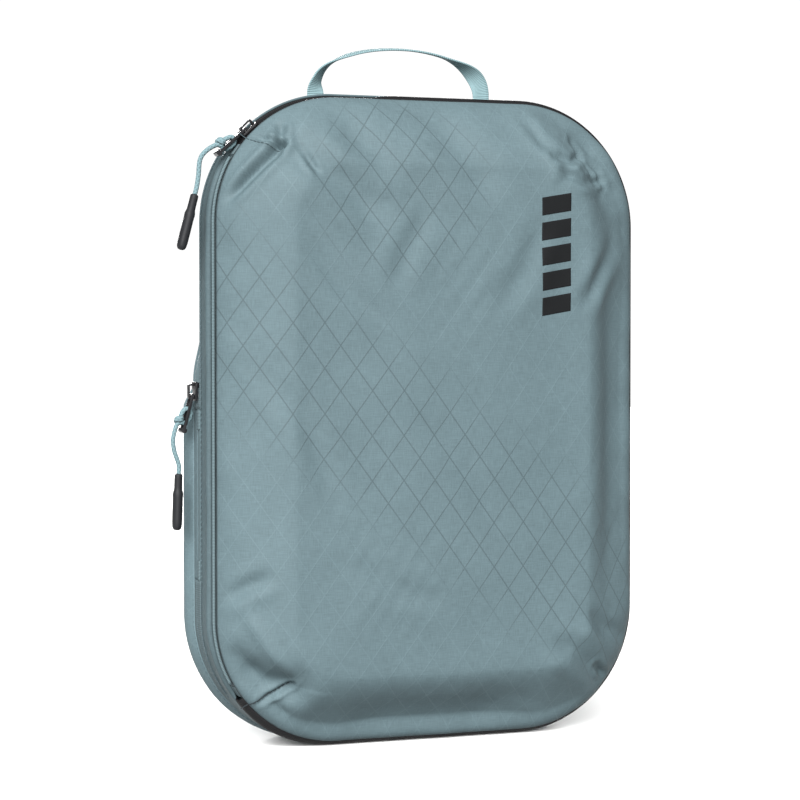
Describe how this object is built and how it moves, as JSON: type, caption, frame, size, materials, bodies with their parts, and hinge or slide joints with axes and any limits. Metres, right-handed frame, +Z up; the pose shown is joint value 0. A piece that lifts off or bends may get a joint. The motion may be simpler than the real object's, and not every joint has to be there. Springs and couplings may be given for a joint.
{
  "type": "packing cube",
  "caption": "Soft rounded packing cube with a hinged zip-round lid, a compression zip round its side, corded zip pulls and a webbing carry handle.",
  "frame": {"origin": "middle of the flat bottom band that the standing cube rests on", "axes": "+Z up along the height, +Y back from the lid to the back panel, +X right as seen from the lid"},
  "size_m": [0.2735, 0.0838, 0.3911],
  "materials": {
    "shell_fabric": "fine woven diamond ripstop nylon, soft satin",
    "trim_fabric": "plain woven binding tape, matt",
    "webbing": "ribbed woven webbing, matt",
    "cord": "braided cord, matt",
    "binding": "woven binding tape, matt",
    "zip_tape": "ribbed woven zip tape, slight sheen",
    "comp_zip_tape": "ribbed woven zip tape, dyed to match the shell",
    "zip_coil": "moulded nylon coil",
    "slider": "black enamel on die-cast zinc, satin",
    "grip": "soft moulded rubber, satin",
    "print": "flat black transfer print"
  },
  "bodies": {
    "case": {"front_gusset": "shell_fabric", "hinge_strip": "shell_fabric", "plain_strip": "shell_fabric", "hinge_piping": "trim_fabric", "front_binding": "binding", "expansion_gusset": "shell_fabric", "main_zip_tape_case": "zip_tape", "main_zip_coil_case": "zip_coil", "main_zip_stops": "zip_coil", "main_zip_end_tabs": "trim_fabric", "comp_zip_tape_front": "comp_zip_tape", "comp_zip_coil_front": "zip_coil", "comp_zip_stops": "zip_coil", "comp_zip_end_tabs": "trim_fabric"},
    "lid": {"lid_panel": "shell_fabric", "lid_binding": "binding", "print_mark": "print", "main_zip_tape_lid": "zip_tape", "main_zip_coil_lid": "zip_coil"},
    "rear_shell": {"rear_band": "shell_fabric", "rear_binding": "binding", "back_panel": "shell_fabric", "comp_zip_tape_rear": "comp_zip_tape", "comp_zip_coil_rear": "zip_coil", "handle_tacks": "webbing"},
    "handle": {"handle_strap": "webbing"},
    "main_slider": {"main_slider": "slider", "main_bail": "slider"},
    "main_pull": {"main_puller": "slider", "main_cord_loop": "cord", "main_cord_knot": "cord"},
    "main_grip": {"main_cord_tail": "cord", "main_grip": "grip"},
    "comp_slider": {"comp_slider": "slider", "comp_bail": "slider"},
    "comp_pull": {"comp_puller": "slider", "comp_cord_loop": "cord", "comp_cord_knot": "cord"},
    "comp_grip": {"comp_cord_tail": "cord", "comp_grip": "grip"}
  },
  "joints": [
    {"name": "lid_hinge", "type": "hinge", "parent": "case", "child": "lid", "pos_m": [-0.1256, -0.0333, 0.18], "axis": [0, 0, -1], "range_deg": [0, 110]},
    {"name": "compression", "type": "slide", "parent": "case", "child": "rear_shell", "axis": [0, 1, 0], "range_m": [0, 0.045], "deforming": ["expansion_gusset"]},
    {"name": "main_zip_run", "type": "hinge", "parent": "case", "child": "main_slider", "pos_m": [-0.0555, -0.0289, 0.288], "axis": [0, 1, 0], "range_deg": [0, 44]},
    {"name": "main_pull_swing", "type": "hinge", "parent": "main_slider", "child": "main_pull", "pos_m": [-0.10737, -0.0289, 0.33883], "axis": [0, 1, 0], "range_deg": [0, 110]},
    {"name": "main_cord_swing", "type": "hinge", "parent": "main_pull", "child": "main_grip", "pos_m": [-0.12093, -0.0289, 0.33147], "axis": [0, 1, 0], "range_deg": [-5, 60]},
    {"name": "comp_zip_run", "type": "slide", "parent": "case", "child": "comp_slider", "axis": [0, 0, 1], "range_m": [0, 0.08]},
    {"name": "comp_pull_swing", "type": "hinge", "parent": "comp_slider", "child": "comp_pull", "pos_m": [-0.1306, -0.00665, 0.194], "axis": [0, 1, 0], "range_deg": [0, 110]},
    {"name": "comp_cord_swing", "type": "hinge", "parent": "comp_pull", "child": "comp_grip", "pos_m": [-0.13796, -0.00665, 0.18044], "axis": [0, 1, 0], "range_deg": [-5, 60]},
    {"name": "handle_flop", "type": "hinge", "parent": "rear_shell", "child": "handle", "pos_m": [0, 0.0125, 0.36165], "axis": [1, 0, 0], "range_deg": [-70, 70], "stiffness_Nm_per_rad": 0.003}
  ]
}
